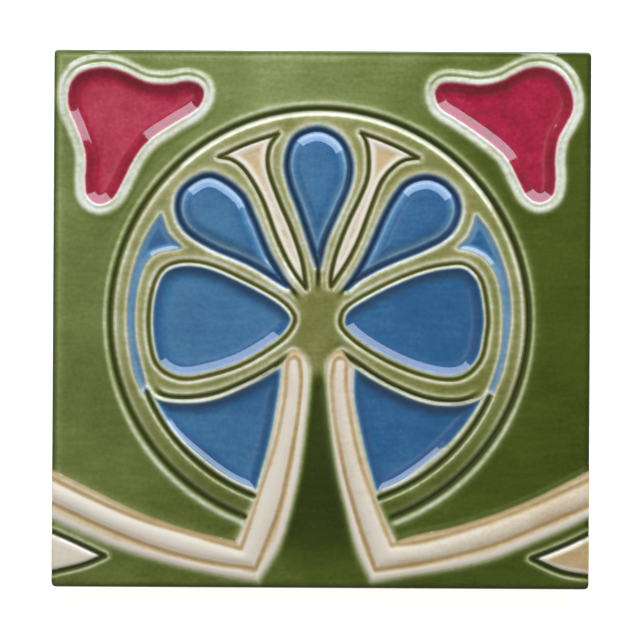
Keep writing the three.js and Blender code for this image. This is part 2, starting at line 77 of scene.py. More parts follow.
# The relief's lines on the left half: runs that are smooth inside and meet in corners
LEFT = {
    "heart": [[(-72.2, 62.8), (-71.2, 67.1), (-68.1, 70), (-62.4, 71.2), (-57, 70.2), (-50.2, 67.2),
               (-43.9, 66.6), (-38.3, 67.5), (-34.6, 66.2), (-33.7, 63.1), (-35.9, 59.3), (-42.7, 55),
               (-49.2, 50.5), (-53.5, 44.9), (-56.8, 38.2), (-59.4, 33.9), (-63.3, 32.3), (-66.5, 34.5),
               (-67.2, 39), (-67.1, 46.4), (-69.4, 53.5), (-71.6, 58.6)]],
    "teardrop": [[(-9.8, 9.5), (-15, 18.1), (-19.3, 28.2), (-23.3, 35.7), (-31.6, 40.6), (-38.9, 37.1),
                  (-40.9, 31.5), (-38.5, 25.4), (-31.5, 20.6), (-20.3, 15.8), (-9.8, 9.5)]],
    "horn": [[(-29.3, 45.8), (-21.6, 49.4), (-12.6, 52.5)],
             [(-12.6, 52.5), (-15.1, 48.4), (-15.3, 42.4), (-12.2, 33.6), (-8.6, 25.3), (-5.6, 16.4),
              (-4.4, 8.7)],
             [(-4.4, 8.7), (-8.3, 14), (-12.5, 22.4), (-16.9, 33.8), (-21.6, 41.7), (-25.4, 44.9),
              (-29.3, 45.8)]],
    "petal": [[(-49, 0.8), (-47.7, 9.1), (-44.8, 14.2), (-38.8, 16.2), (-30.9, 15.1), (-20.3, 10.4),
               (-12.1, 5.8), (-8.1, 1.9), (-7.8, -1.5), (-11.7, -6.4), (-21.6, -12.6), (-31.1, -15.9),
               (-39.5, -17.1), (-45.8, -14.1), (-48.3, -8.3)]],
    "crescent": [[(-45.7, 29.3), (-49.9, 22.4), (-53.1, 13.5), (-54.6, 3.9), (-54.5, -4.6),
                  (-52.8, -14.9), (-50.2, -21.1)],
                 [(-49.4, -20.6), (-51.3, -13.7), (-53.1, -4.6), (-53, 5.3), (-51, 13.8), (-47.4, 18.4),
                  (-40, 20.3)],
                 [(-40, 20.3), (-43.7, 24.1), (-45.7, 29.3)]],
    "corner_panel": [[(-49.4, -19.4), (-46.3, -22.6), (-39.5, -23.6), (-30.9, -22.8), (-20.8, -18.6),
                      (-10.8, -12.8)],
                     [(-10.8, -12.8), (-11.6, -20.6), (-13.8, -33.4), (-18, -48.9)],
                     [(-18, -48.9), (-26.3, -45.1), (-35.1, -38.6), (-43.4, -30.7), (-49.4, -19.4)]],
    "petal_rim": [[(-48.8, -18.2), (-44.4, -21.7), (-37.4, -22.3), (-29, -20.8), (-20.4, -17.2),
                   (-14.7, -14.1), (-8.1, -9.5)]],
    "strap": [[(-10.8, -12.1), (-11.6, -20.6), (-13.8, -33.4), (-17.7, -48.5), (-23.9, -63)],
              [(-23.9, -63), (-37, -59.9), (-51.2, -55), (-64, -49), (-78.2, -42.1)],
              [(-78.2, -55.8), (-65.4, -61.6), (-54, -66.1), (-36.9, -70.7), (-17.6, -74.3)],
              [(-17.6, -74.3), (-11.1, -62.6), (-6.7, -45.6), (-4.5, -29.9), (-3.4, -15.7), (-5.2, -9.8),
               (-8.3, -8.8), (-10.8, -12.1)]],
    "strap_inner": [[(-9.7, -13.2), (-10.5, -22.9), (-13, -35.7), (-17, -48.9), (-22.5, -65)],
                    [(-22.5, -65), (-36.8, -61), (-51.1, -56.7), (-63.9, -51.4), (-78.2, -44.4)]],
    "strap_outer": [[(-6, -12), (-5.6, -18.6), (-6.8, -29.8), (-9.1, -42.6), (-12, -54.7),
                     (-18.2, -70.9)],
                    [(-18.2, -70.9), (-34.1, -68.4), (-48.2, -64.5), (-62.5, -58.8), (-78.2, -51.5)]],
    "strap_top": [[(-6, -12), (-6.5, -11), (-7.8, -10.6), (-9.2, -11.5), (-9.7, -13.2)]],
    "leaf": [[(-78.2, -59.6), (-69.6, -63.4), (-61.1, -67.4)],
             [(-61.1, -67.4), (-67.7, -70.1), (-78.2, -72.6)]],
}

# The right half isn't an exact mirror of the left one
RIGHT = {
    "heart": [[(31.8, 63.8), (32.5, 66.3), (34.8, 67.5), (38.8, 67.4), (44.5, 66.8), (50.1, 67.8),
               (54.1, 69.8), (58.1, 71.6), (62.3, 72), (66.1, 70.7), (68.9, 68), (70.7, 64.2),
               (70.9, 59.9), (69, 55.7), (66.8, 51.4), (65.9, 45.7), (66.1, 39.6), (65.1, 35.3),
               (61.7, 33.4), (58.3, 35), (55.7, 39.5), (52.3, 45.9), (48.5, 49.6), (43.1, 53.6),
               (37.7, 57.2), (33.4, 60)]],
    "teardrop": [[(7.2, 9), (10.7, 14.2), (14.3, 21.4), (17.3, 28.4), (20.3, 34.1), (24.1, 38.7),
                  (29.6, 40.3), (34.3, 38.8), (37.7, 35.2), (38.6, 30.8), (36.9, 26), (33.6, 22.8),
                  (27.9, 19.9), (22.2, 17.6), (16.6, 15.1), (10.9, 12), (7.2, 9)]],
    "horn": [[(27.2, 45.8), (22, 48.5), (16.4, 50.9), (11, 52.8)],
             [(11, 52.8), (12.7, 49.4), (13.2, 44.3), (12.7, 39.5), (10.6, 34.2), (7.7, 28.1),
              (5.5, 22.7), (3.6, 17), (2.6, 12.1), (2.7, 9.3)],
             [(2.7, 9.3), (7.1, 16), (10.2, 22.1), (12.6, 28.4), (14.7, 34.1), (16.8, 39.1),
              (19.6, 42.6), (22.9, 45), (27.2, 45.8)]],
    "petal": [[(47.2, 1), (46, 9.2), (43.9, 13.3), (40.1, 15.9), (34.4, 15.6), (28.6, 14.3),
               (21.5, 11.6), (13.8, 7.8), (7.4, 3.8), (5.4, 0.5), (6.1, -2.9), (11, -7.3), (19.3, -12.1),
               (28, -15.5), (36, -16.9), (41.4, -15.5), (45.4, -10.9), (46.8, -4.6)]],
    "crescent": [[(43.7, 29.4), (47, 25), (50, 18.7), (52.1, 12.3), (53.1, 5.9), (53.2, -1.2),
                  (52.2, -8.3), (50.8, -14.9), (48.3, -20.8)],
                 [(47.6, -20.3), (49.7, -14.6), (51.2, -8.3), (51.7, -1.2), (51.4, 5.9), (49.8, 12.7),
                  (46.6, 17.5), (42.7, 19.7), (38.7, 20.6)],
                 [(38.7, 20.6), (41.5, 23.4), (43.2, 27.1), (43.7, 29.4)]],
    "corner_panel": [[(47.1, -20.3), (44.5, -22.4), (40, -23.6), (35.8, -24), (31.1, -23.6), (25.5, -22),
                      (20, -19.5), (14.6, -16.7), (9, -13.1)],
                     [(9, -13.1), (8.8, -21.4), (10.4, -29.9), (12.4, -38.4), (15.5, -49.1)],
                     [(15.5, -49.1), (22.6, -46.1), (31.1, -40), (38.3, -33.2), (43.8, -25.8),
                      (47.1, -20.3)]],
    "petal_rim": [[(46.5, -19.7), (41.1, -22.4), (35.9, -22.9), (29.2, -21.9), (22.2, -19.3),
                   (15.9, -16.1), (9.8, -12), (5.9, -9.4)]],
    "strap": [[(8.8, -13.7), (8.8, -21.4), (10.4, -29.9), (12.4, -38.4), (16.1, -51.1), (21.5, -62.7)],
              [(21.5, -62.7), (28.3, -60.7), (36.8, -58.9), (48.2, -55.4), (59.5, -50.9), (70.8, -45.3),
               (78.2, -41.3)],
              [(78.2, -54.2), (70.9, -58.1), (59.6, -63.1), (48.3, -67.6), (34.1, -70.9), (14.6, -74.1)],
              [(14.6, -74.1), (10.5, -65.3), (7.4, -54), (4.7, -42.7), (2.8, -29.9), (1.5, -15.7),
               (2.5, -10.6), (5.6, -8.7), (8.8, -13.7)]],
    "strap_inner": [[(7.2, -13.1), (7.4, -20.5), (9.2, -31.2), (11.8, -41.7), (15.9, -53.4),
                     (20.3, -63.8)],
                    [(20.3, -63.8), (28.3, -62.8), (36.9, -60.6), (48.2, -56.9), (59.5, -52.6),
                     (70.9, -47.4), (78.2, -44.1)]],
    "strap_outer": [[(3.4, -12.8), (2.9, -18.6), (4.3, -31.4), (7.2, -45.6), (11, -58.2), (15.6, -71)],
                    [(15.6, -71), (28.3, -69), (39.6, -66.4), (51, -63), (62.2, -58.3), (78.2, -51.4)]],
    "strap_top": [[(3.4, -12.8), (3.9, -11.4), (5.3, -10.8), (6.7, -11.5), (7.2, -13.1)]],
    "leaf": [[(78.2, -59.3), (69.5, -63.6), (59.9, -67.5)],
             [(59.9, -67.5), (65.4, -70.1), (70.2, -71.7), (78.2, -72.7)]],
}
TOP_TEARDROP = [[(-1, 15.2), (-3.4, 22.5), (-6.3, 31.1), (-9.1, 38.5), (-10, 44.9), (-7.6, 51.4),
                 (-1.1, 53.8), (5, 50.9), (7.8, 44.8), (7.3, 38.2), (4.3, 30.8), (0.7, 22.5), (-1, 15.2)]]
TEARDROP_TAILS = [[(-1, 17), (-1, 8)],
                  [(-11, 11.5), (-5.8, 5.3)],
                  [(8.5, 10.8), (4.4, 6.2)]]
STEM = [[(-3.8, -14.5), (-12.1, -61.2), (-12.1, -80), (10.9, -80), (10.9, -61.2), (2.6, -14.5),
         (-3.8, -14.5)]]

# Cross-sections: (distance from the line, height). Positive distances are inside an outline, or outside the
# ring. The ring's section runs from the medallion out to the field. The heart's wall gives the share of the
# way down to the floor
RING_SECTION = ((-4.5, 0.6), (-2.5, 0.63), (-2.0, 0.57), (-0.9, 0.06), (-0.1, -0.15), (0.5, -0.05),
                (1.3, 0.33), (1.9, 0.38), (3.0, 0.12), (4.4, 0))
FINE_GROOVE_SECTION = ((-2.2, 0), (-1.35, 0.15), (-0.6, -0.14), (0, -0.26), (0.6, -0.14), (1.35, 0.15),
                       (2.2, 0))
PETAL_SECTION = ((-2.2, 0), (-1.2, 0.17), (-0.5, -0.14), (0, -0.26), (0.5, -0.12), (1.2, 0.2), (1.5, 0.18))
HORN_SECTION = ((-2.2, 0), (-1.2, 0.15), (-0.5, -0.15), (0, -0.27), (0.5, -0.18), (1.0, 0.06), (1.6, -0.1),
                (2.6, -0.3))
TEARDROP_SECTION = ((-2.9, 0), (-1.9, 0.26), (-0.7, -0.18), (0, -0.36), (0.5, -0.52), (3.25, 0.53),
                    (3.8, 0.64), (4.6, 0.69), (5.2, 0.69))
LEAF_SECTION = ((-2.4, 0), (-1.2, 0.2), (-0.5, -0.1), (0, -0.2), (0.5, -0.05), (1.2, 0.5), (2.2, 0.6))
STRAP_SECTION = ((-2.4, 0), (-1.2, 0.14), (-0.4, 0.34), (0.4, 0.57), (1.1, 0.75), (1.7, 0.8))
BAND_SECTION = ((-1.4, 0), (-0.6, -0.16), (0, -0.24), (0.5, -0.13), (2.1, 0.38), (3.1, 0.45))
HEART_SECTION = ((-4.6, 0), (-3.5, 0.12), (-2.4, 0.42), (-2.0, 0.43), (-1.2, 0.22), (-0.4, 0.5), (0, 0.51),
                 (0.4, 0.5))
HEART_WALL = ((-0.7, 0), (2.1, 0.8), (2.8, 0.95), (3.7, 1))
CORNER = 0.18  # how far the corners of a cross-section are rounded


# Curves in the plane of the face

REACH = 6.0  # no line changes the face further from it than this
FAR = 99.0
CURVE_STEPS = 24  # on a curve between two of an outline's points
CHUNK = 3000  # points worked out at a time, which keeps the memory small


def smooth_line(run, step, closed=False):
    """Points about step apart on a smooth curve through the points of run."""
    points = np.array(run, float)
    if closed:
        points = np.vstack([points[-1], points, points[:2]])
    else:
        points = np.vstack([2 * points[0] - points[1], points, 2 * points[-1] - points[-2]])
    t = np.linspace(0, 1, CURVE_STEPS, endpoint=False)[:, None]
    pieces = []
    for before, start, end, after in zip(points, points[1:], points[2:], points[3:]):
        leave, arrive = (end - before) / 2, (after - start) / 2
        pieces.append(start + t * leave + t ** 2 * (3 * (end - start) - 2 * leave - arrive)
                      + t ** 3 * (2 * (start - end) + leave + arrive))
    dense = np.vstack(pieces + [points[-2][None]])
    length = np.concatenate([[0], np.cumsum(np.linalg.norm(np.diff(dense, axis=0), axis=1))])
    at = np.linspace(0, length[-1], max(2, round(length[-1] / step) + 1))
    return np.column_stack([np.interp(at, length, dense[:, axis]) for axis in (0, 1)])


def runs_of(outline, step, closed=False):
    return [smooth_line(run, step, closed) for run in outline]


def arc(radius, start, end, step):
    angle = np.radians(np.linspace(start, end, round(radius * math.radians(end - start) / step)))
    return MEDALLION_CENTRE + radius * RING_STRETCH * np.column_stack([np.cos(angle), np.sin(angle)])


def nearest(points, lines):
    """Each point's distance from the nearest of the lines, FAR where that is well over REACH, and how
    squarely it lies north of that line, from -1 to 1."""
    distance = np.full(len(points), FAR)
    north = np.zeros(len(points))
    for line in lines:
        low, high = line.min(0) - REACH, line.max(0) + REACH
        near = np.flatnonzero(((points > low) & (points < high)).all(1))
        start, along = line[:-1], np.diff(line, axis=0)
        squared = (along ** 2).sum(1)
        for chunk in np.array_split(near, len(near) // CHUNK + 1):
            offset = points[chunk, None] - start
            t = np.clip((offset * along).sum(2) / squared, 0, 1)
            offset -= t[..., None] * along
            gaps = np.linalg.norm(offset, axis=2)
            best = gaps.argmin(1)
            row = np.arange(len(chunk))
            gap = gaps[row, best]
            closer = gap < distance[chunk]
            distance[chunk[closer]] = gap[closer]
            north[chunk[closer]] = (offset[row, best, 1] / np.maximum(gap, 1e-6))[closer]
    return distance, north


def distance_to(points, lines):
    return nearest(points, lines)[0]


def is_inside(points, lines):
    """Whether each point lies inside the outline that the lines make together."""
    corners = np.vstack(lines)
    low, high = corners.min(0), corners.max(0)
    near = np.flatnonzero(((points > low) & (points < high)).all(1))
    x, y = points[near].T
    within = np.zeros(len(near), bool)
    for (x0, y0), (x1, y1) in zip(corners, np.roll(corners, -1, 0)):
        if y0 != y1:
            within ^= ((y0 > y) != (y1 > y)) & (x < (x1 - x0) * (y - y0) / (y1 - y0) + x0)
    result = np.zeros(len(points), bool)
    result[near] = within
    return result


def depth_inside(points, lines):
    """Distance from an outline: positive inside it and negative outside."""
    return depth_and_north(points, lines)[0]


def depth_and_north(points, lines):
    """Distance from an outline, positive inside it, and how squarely each point lies north of the line."""
    gap, north = nearest(points, lines)
    return np.where(is_inside(points, lines), gap, -gap), north


def on_upper_side(deep, north):
    """From 0 to 1: whether the nearest stretch of an outline is on the outline's north side."""
    return np.clip(np.where(deep > 0, -north, north), 0, 1)


def inset_from_rim(points):
    """Distance inwards from the square with rounded corners that bounds the face."""
    beyond = np.abs(points) - (HALF_SIDE - CORNER_RADIUS)
    in_corner = (beyond > 0).all(1)
    return np.where(in_corner, CORNER_RADIUS - np.hypot(*beyond.T), HALF_SIDE - np.abs(points).max(1))


# The relief: each line's own height and glaze, by the distance from it

def soft(value, start, end):
    """Goes smoothly from 0 at start to 1 at end."""
    t = np.clip((value - start) / (end - start), 0, 1)
    return t * t * (3 - 2 * t)


def hump(value, centre, width):
    return np.exp(-((value - centre) / width) ** 2)


def section(distance, profile):
    """Heights on a cross-section, with its corners a little rounded."""
    at, height = np.array(profile).T
    shifts = ((-CORNER, 0.25), (0, 0.5), (CORNER, 0.25))
    return sum(share * np.interp(distance + shift, at, height) for shift, share in shifts)


def slope(distance, start, end):
    """A flat slope from 0 at start to 1 at end."""
    return section(distance, ((start, 0), (end, 1)))


def bowl(distance, start, end):
    """The side of a bowl: steep from 0 at start, level at 1 at end."""
    t = np.clip((distance - start) / (end - start), 0, 1)
    return 1 - (1 - t) ** 2


CORE_SHARE, SKIRT_SHARE = 0.82, 0.3  # how bare the glaze is on a pale line and beside it

# Depths of the glazes on level ground
FIELD_GLAZE = 0.52
MEDALLION_GLAZE = 0.3
CENTRE_GLAZE = 0.37
STEM_GLAZE = 0.78
PETAL_GLAZE = 0.45
CORNER_PANEL_GLAZE = 0.47
CRESCENT_GLAZE = 0.52
TEARDROP_GLAZE = 0.46
HORN_GLAZE = 0.5
HEART_GLAZE = 0.6
STRAP_GLAZE = 0.32
STRAP_EDGE_GLAZE = 0.47
LEAF_GLAZE = 0.48


class Face:
    """Height above the field and glaze at each point of the tile's face. A glaze's depth goes from 0, where
    it has run off, to 1, where it is darkest. Bare shares thin it, and pooled ones deepen what is left.
    Besides real runs and pools of glaze, they also carry the painted highlights and painted shade beside
    some lines."""

    def __init__(self, points):
        self.points = points
        count = len(points)
        self.height = np.zeros(count)
        self.depth = np.full(count, FIELD_GLAZE)
        self.bare = np.zeros(count)
        self.pooled = np.zeros(count)
        self.blue = np.zeros(count)
        self.red = np.zeros(count)
        self.ivory = np.zeros(count)
        self.amber = np.zeros(count)

    def level(self, height, share):
        self.height += (height - self.height) * share

    def glaze(self, depth, share):
        self.depth += (depth - self.depth) * share

    def thin(self, amount):
        self.bare = 1 - (1 - self.bare) * (1 - amount)

    def thinned_line(self, distance, centre, strength=1.0, core=0.42, skirt=1.05):
        """A pale line along a ridge, bright in the middle and fading out to both sides."""
        self.thin(strength * CORE_SHARE * hump(distance, centre, core))
        self.thin(strength * SKIRT_SHARE * hump(distance, centre, skirt))

    def pool(self, amount):
        self.pooled = np.maximum(self.pooled, amount)

    # Glaze depth with the bare and pooled shares applied, painted highlights and painted shade included.
    def thickness(self):
        glaze = self.depth * (1 - self.bare)
        return np.clip(glaze + (1 - glaze) * self.pooled, 0, 1)


def field(face):
    """Darker to the right, lighter above the ring and darker along the rim. A pale line along the upper and
    left edges is a painted highlight."""
    x, y = face.points.T / HALF_SIDE
    face.depth += 0.1 * x - 0.02 * y - 0.18 * hump(x, 0, 0.6) * soft(y, 0.45, 0.85)
    rim = inset_from_rim(face.points)
    face.depth += 0.27 * (1 - soft(rim, 0, 1.7))
    # Painted highlight: a pale line along the upper and left edges, strongest at the upper left corner.
    face.thin(0.3 * soft(y - x, -0.2, 1) * hump(rim, 1.9, 0.7))


def medallion(face):
    """The raised disc with its grooved ring, cut away between the straps, where the dark stem is."""
    out = np.linalg.norm((face.points - MEDALLION_CENTRE) / RING_STRETCH, axis=1) - RING_RADIUS
    stem = depth_inside(face.points, [np.array(STEM[0], float)])
    stem_starts = soft(-face.points[:, 1], 13, 20)
    disc = soft(-out, -0.6, 0.6) * (1 - soft(stem, -0.8, 0.4) * stem_starts)
    face.level(MEDALLION_RISE, disc)
    x, y = (face.points - MEDALLION_CENTRE).T
    below = soft(-y / RING_RADIUS, 0, 0.9)
    face.glaze(MEDALLION_GLAZE + 0.03 * x / RING_RADIUS + 0.2 * below, disc)
    face.amber = disc * (0.48 - 0.4 * below)
    face.glaze(STEM_GLAZE, soft(stem, -0.5, 2.5) * soft(-out, -14, 2) * stem_starts)
    angle = np.degrees(np.arctan2(y, x))
    past_right_end, past_left_end = angle - RING_START, RING_END - 360 - angle
    on_ring = soft(past_right_end, 0, 2) + soft(past_left_end, -2, 0)
    face.level(section(out, RING_SECTION), on_ring * soft(np.abs(out), 5.4, 3.6))
    # Painted light and shade: of the ring's two pale lips, the one below the groove is painted paler and
    # broader, and the one above it fainter, most strongly towards the bottom of the ring.
    face.thin(0.6 * below * on_ring * hump(out, 2.0, 0.5))
    face.thinned_line(out, 1.6 + 0.4 * below, (0.85 + 0.15 * below) * on_ring, 0.55 + 0.35 * below, 1.2)
    face.thinned_line(out, -1.5, on_ring * (1 - 0.6 * below), 0.55)
    face.pool(on_ring * (0.92 + 0.08 * x / RING_RADIUS) * hump(out, 0.05, 0.65))
    face.glaze(CENTRE_GLAZE, 1 - soft(out + RING_RADIUS, 6, 13))


def fine_groove(face, gap, share=1.0):
    """A dark groove with a pale lip on each side."""
    face.height += share * section(gap, FINE_GROOVE_SECTION)
    face.thinned_line(gap, 1.3, share)
    face.pool(share * 0.88 * hump(gap, 0, 0.6))


def petal(face, lines):
    """A groove between two pale lips around a blue floor, with walls like a bowl's."""
    deep = depth_inside(face.points, lines)
    pocket = bowl(deep, 1.35, 5.2)
    face.height += section(deep, PETAL_SECTION) * (1 - pocket)
    face.level(POCKET_FLOOR, pocket)
    face.thinned_line(deep, -1.08, 1.0, 0.52)
    face.pool(0.62 * hump(deep, 0, 0.45))
    face.blue = np.maximum(face.blue, soft(deep, 0.95, 1.5))
    face.glaze(0.58, soft(deep, 1.1, 1.7))
    face.glaze(PETAL_GLAZE + 0.0012 * face.points[:, 0], soft(deep, 1.8, 5.4))
    face.thin(0.9 * hump(deep, 1.0, 0.52))


def corner_panel(face, lines):
    """A blue floor like the petals', with one pale lip and no groove."""
    deep = depth_inside(face.points, lines)
    face.height += 0.2 * hump(deep, -0.05, 0.55)
    face.level(POCKET_FLOOR, bowl(deep, 0.3, 4.1))
    face.blue = np.maximum(face.blue, soft(deep, 0.15, 0.7))
    face.glaze(0.62, soft(deep, 0.1, 0.7))
    face.glaze(CORNER_PANEL_GLAZE + 0.0006 * face.points[:, 0], soft(deep, 1.2, 4.4))
    face.thinned_line(deep, -0.05, 0.95, 0.5, 0.8)


def crescent(face, lines):
    """A shallow blue sickle, light at its edges."""
    deep = depth_inside(face.points, lines)
    face.level(CRESCENT_FLOOR, slope(deep, -0.3, 1.0))
    face.blue = np.maximum(face.blue, soft(deep, -0.55, -0.05))
    face.glaze(0.27, soft(deep, -0.6, 0))
    face.glaze(CRESCENT_GLAZE, soft(deep, 0.9, 2.0))
    face.thinned_line(deep, -0.85, 0.9, 0.42, 0.8)


def horn(face, lines):
    """A groove around an ivory floor that sinks a little, with a pale line along its edge."""
    deep = depth_inside(face.points, lines)
    face.height += section(deep, HORN_SECTION)
    face.ivory = np.maximum(face.ivory, soft(deep, 0.5, 1.0))
    face.glaze(0.38, soft(deep, 0.6, 1.0))
    face.glaze(HORN_GLAZE, soft(deep, 1.5, 2.8))
    face.thinned_line(deep, -1.15)
    face.thinned_line(deep, 1.1, 0.7, 0.36, 0.6)
    face.pool(0.8 * hump(deep, 0, 0.48))


def teardrop(face, lines):
    """A wide dark groove around a blue dome, paler where the glaze ran down its shoulder."""
    deep = depth_inside(face.points, lines)
    shape = section(deep, TEARDROP_SECTION)
    face.height += shape * (deep < 0.7)
    face.level(MEDALLION_RISE + shape, soft(deep, 0.2, 0.6))
    face.blue = np.maximum(face.blue, soft(deep, -1.2, -0.8))
    face.glaze(0.56, soft(deep, 0.3, 1.0))
    face.glaze(TEARDROP_GLAZE + 0.0006 * face.points[:, 0], soft(deep, 2.0, 5.0))
    face.thinned_line(deep, -1.5, 1.0, 0.62, 1.2)
    face.thin(0.66 * hump(deep, 1.35, 0.45))
    face.thin(0.36 * hump(deep, 2.0, 1.0))
    face.pool(0.97 * hump(deep, 0.02, 0.7))


def tail(face, run):
    """The teardrop's groove run out to a point."""
    gap = distance_to(face.points, [run])
    to_end = np.linalg.norm(face.points - run[-1], axis=1)
    share = soft(to_end, 0, 3.5)
    face.level(MEDALLION_RISE - TAIL_DEPTH, 0.8 * share * hump(gap, 0, 0.5))
    face.thinned_line(gap, 1.1, 0.8 * share, 0.36, 0.7)
    face.pool(0.97 * share * hump(gap, 0, 0.55))


def heart(face, lines):
    """A deep red floor in a pale rim of two ridges, which is broader above the heart. Above the heart, a
    paler line on the rim and a darker line in its groove are painted highlight and painted shade.
    """
    deep, north = depth_and_north(face.points, lines)
    outer_north = np.clip(north, 0, 1)
    above = on_upper_side(deep, north)
    rim = deep + 0.4 * outer_north * soft(-deep, 0.2, 1.3)
    face.level(section(rim, HEART_SECTION), soft(rim, -4.4, -3.6))
    face.level(HEART_FLOOR, section(deep - 0.55 * above, HEART_WALL))
    face.glaze(0.12, soft(rim, -3.9, -2.4))
    face.thinned_line(rim, -2.15, 0.95, 0.6, 1.2)
    face.thin(0.9 * hump(rim, -0.45, 0.5))
    face.thin(0.5 * hump(rim, -1.3, 0.5))
    # Painted highlight and painted shade: a paler line on the rim and a darker line in its groove, above the
    # heart only.
    face.thin(0.7 * outer_north * hump(rim, -0.8, 0.4) * (deep < 0))
    face.pool(0.25 * outer_north * hump(rim, -1.4, 0.45))
    face.red = np.maximum(face.red, soft(deep - 0.2 * above, -0.35, 0.05))
    face.glaze(0.78, soft(deep - 0.3 * above, -0.15, 0.5))
    face.glaze(HEART_GLAZE + 0.0005 * face.points[:, 0], soft(deep, 0.8, 4.5))


def strap(face, lines, band_lines):
    """A raised ivory strap over all that it crosses, with a raised band along its middle. Its edge glaze is
    real, but its being tan on the upper side and nearly bare on the lower one is painted shade and painted
    highlight."""
    deep, north = depth_and_north(face.points, lines)
    above = on_upper_side(deep, north)
    band = depth_inside(face.points, band_lines)
    on = soft(deep, -0.4, 0.6)
    for kind in (face.blue, face.red, face.pooled, face.bare, face.amber):
        kind *= 1 - on
    face.level(section(deep, STRAP_SECTION), slope(deep, -2.2, -0.4))
    face.ivory = np.maximum(face.ivory, soft(deep, -0.4, 0.6))
    face.glaze(STRAP_GLAZE + 0.0014 * face.points[:, 0], on)
    face.height += on * section(band, BAND_SECTION) * soft(-face.points[:, 1], 8, 18)
    face.glaze(STRAP_EDGE_GLAZE, on * (1 - soft(band, 0.3, 1.2)))
    # Painted highlight and painted shade: the edge is paler on the lower side and a darker tan on the upper
    # side.
    face.thin(0.7 * (1 - above) * hump(deep, -0.3, 0.8))
    face.thinned_line(deep, 1.2, 0.7 * (1 - 0.8 * above), 0.5, 0.9)
    face.pool(on * 0.36 * above * hump(deep, 0.3, 0.75))
    face.pool(on * 0.48 * hump(band, 0, 0.62))


def leaf(face, lines):
    """A groove around a raised ivory leaf, yellower on the right."""
    deep = depth_inside(face.points, lines)
    face.height += section(deep, LEAF_SECTION)
    face.ivory = np.maximum(face.ivory, soft(deep, 0.5, 1.0))
    face.glaze(LEAF_GLAZE + 0.0016 * face.points[:, 0], soft(deep, 0.6, 1.0))
    face.thinned_line(deep, -1.2)
    face.thinned_line(deep, 1.2, 0.8, 0.4, 0.7)
    face.pool(0.93 * hump(deep, 0, 0.6))


def tile_lines(step):
    """Every line of the relief: (name, smooth lines)."""
    found = []
    for half in (LEFT, RIGHT):
        for name, outline in half.items():
            found.append((name, runs_of(outline, step, closed=name in ("heart", "petal"))))
    found.append(("teardrop", runs_of(TOP_TEARDROP, step)))
    found.append(("tails", runs_of(TEARDROP_TAILS, step)))
    found.append(("ring", [arc(RING_RADIUS, RING_START, RING_END, step)]))
    found.append(("inner_ring", [arc(INNER_RING_RADIUS, RING_START, CRESCENT_FOOT_RIGHT, step),
                                 arc(INNER_RING_RADIUS, CRESCENT_FOOT_LEFT, RING_END, step)]))
    return found


def face_at(points):
    """The finished face: every line's shape and glaze, in the order in which they cover each other."""
    face = Face(points)
    named = {}
    for name, runs in tile_lines(LINE_STEP):
        named.setdefault(name, []).append(runs)
    field(face)
    medallion(face)
    fine_groove(face, distance_to(points, named["inner_ring"][0]))
    for runs in named["petal_rim"]:
        from_tip = np.linalg.norm(points - runs[0][0], axis=1)
        fine_groove(face, distance_to(points, runs), soft(from_tip, 1, 6))
    for name, shape in (("petal", petal), ("crescent", crescent), ("corner_panel", corner_panel),
                        ("horn", horn), ("teardrop", teardrop)):
        for runs in named[name]:
            shape(face, runs)
    for run in named["tails"][0]:
        tail(face, run)
    for name, shape in (("heart", heart), ("leaf", leaf)):
        for runs in named[name]:
            shape(face, runs)
    for outline, inner, outer, top in zip(named["strap"], named["strap_inner"], named["strap_outer"],
                                          named["strap_top"]):
        strap(face, outline, inner + [run[::-1] for run in outer[::-1]] + top)
    over_edge = np.clip(EDGE_ROUND - inset_from_rim(points), 0, EDGE_ROUND)
    face.height -= EDGE_ROUND - np.sqrt(EDGE_ROUND ** 2 - over_edge ** 2)
    return face


# The net of points that carries the relief: rows along every line, close together where the surface bends

ROWS = {
    "heart": (-4.6, -4.0, -3.4, -2.9, -2.5, -2.15, -1.8, -1.5, -1.2, -0.85, -0.5, -0.2, 0.1, 0.4, 0.9, 1.4,
              1.9, 2.3, 2.6, 3.2),
    "teardrop": (-2.2, -1.75, -1.35, -0.95, -0.5, 0, 0.45, 0.75, 1.1, 1.5, 2.0, 2.6, 3.2, 3.6, 4.0, 4.5),
    "horn": (-2.0, -1.5, -1.15, -0.75, -0.35, 0, 0.35, 0.7, 1.0, 1.3, 1.8, 2.6),
    "petal": (-2.1, -1.6, -1.2, -0.8, -0.4, 0, 0.4, 0.8, 1.15, 1.5, 1.9, 2.5, 3.1, 3.7, 4.0, 4.6),
    "crescent": (-1.2, -0.8, -0.4, 0, 0.4, 0.8, 1.3, 1.8),
    "corner_panel": (-1.4, -0.9, -0.5, -0.1, 0.3, 0.6, 1.0, 1.5, 2.0, 2.5, 2.8, 3.4),
    "petal_rim": (-1.7, -1.3, -0.8, -0.4, 0, 0.4, 0.8, 1.3, 1.7),
    "strap": (-1.8, -1.2, -0.8, -0.4, 0, 0.4, 0.8, 1.2, 1.6, 2.1),
    "strap_inner": (-1.7, -1.25, -0.85, -0.45, 0, 0.45, 0.85, 1.25, 1.7, 2.2),
    "strap_outer": (-2.2, -1.7, -1.25, -0.85, -0.45, 0, 0.45, 0.85, 1.25, 1.7),
    "strap_top": (-1.2, -0.8, -0.4, 0, 0.4, 0.8, 1.2, 1.7),
    "leaf": (-2.3, -1.8, -1.4, -1.0, -0.6, -0.2, 0.2, 0.6, 1.0, 1.5, 2.2),
    "tails": (-1.2, -0.8, -0.4, 0, 0.4, 0.8, 1.2),
    "ring": (-4.0, -3.2, -2.7, -2.3, -1.9, -1.4, -0.9, -0.45, 0, 0.4, 0.8, 1.2, 1.6, 2.0, 2.4, 3.0, 3.6, 4.4,
             5.2),
    "inner_ring": (-1.8, -1.35, -0.9, -0.45, 0, 0.45, 0.9, 1.35, 1.8),
}
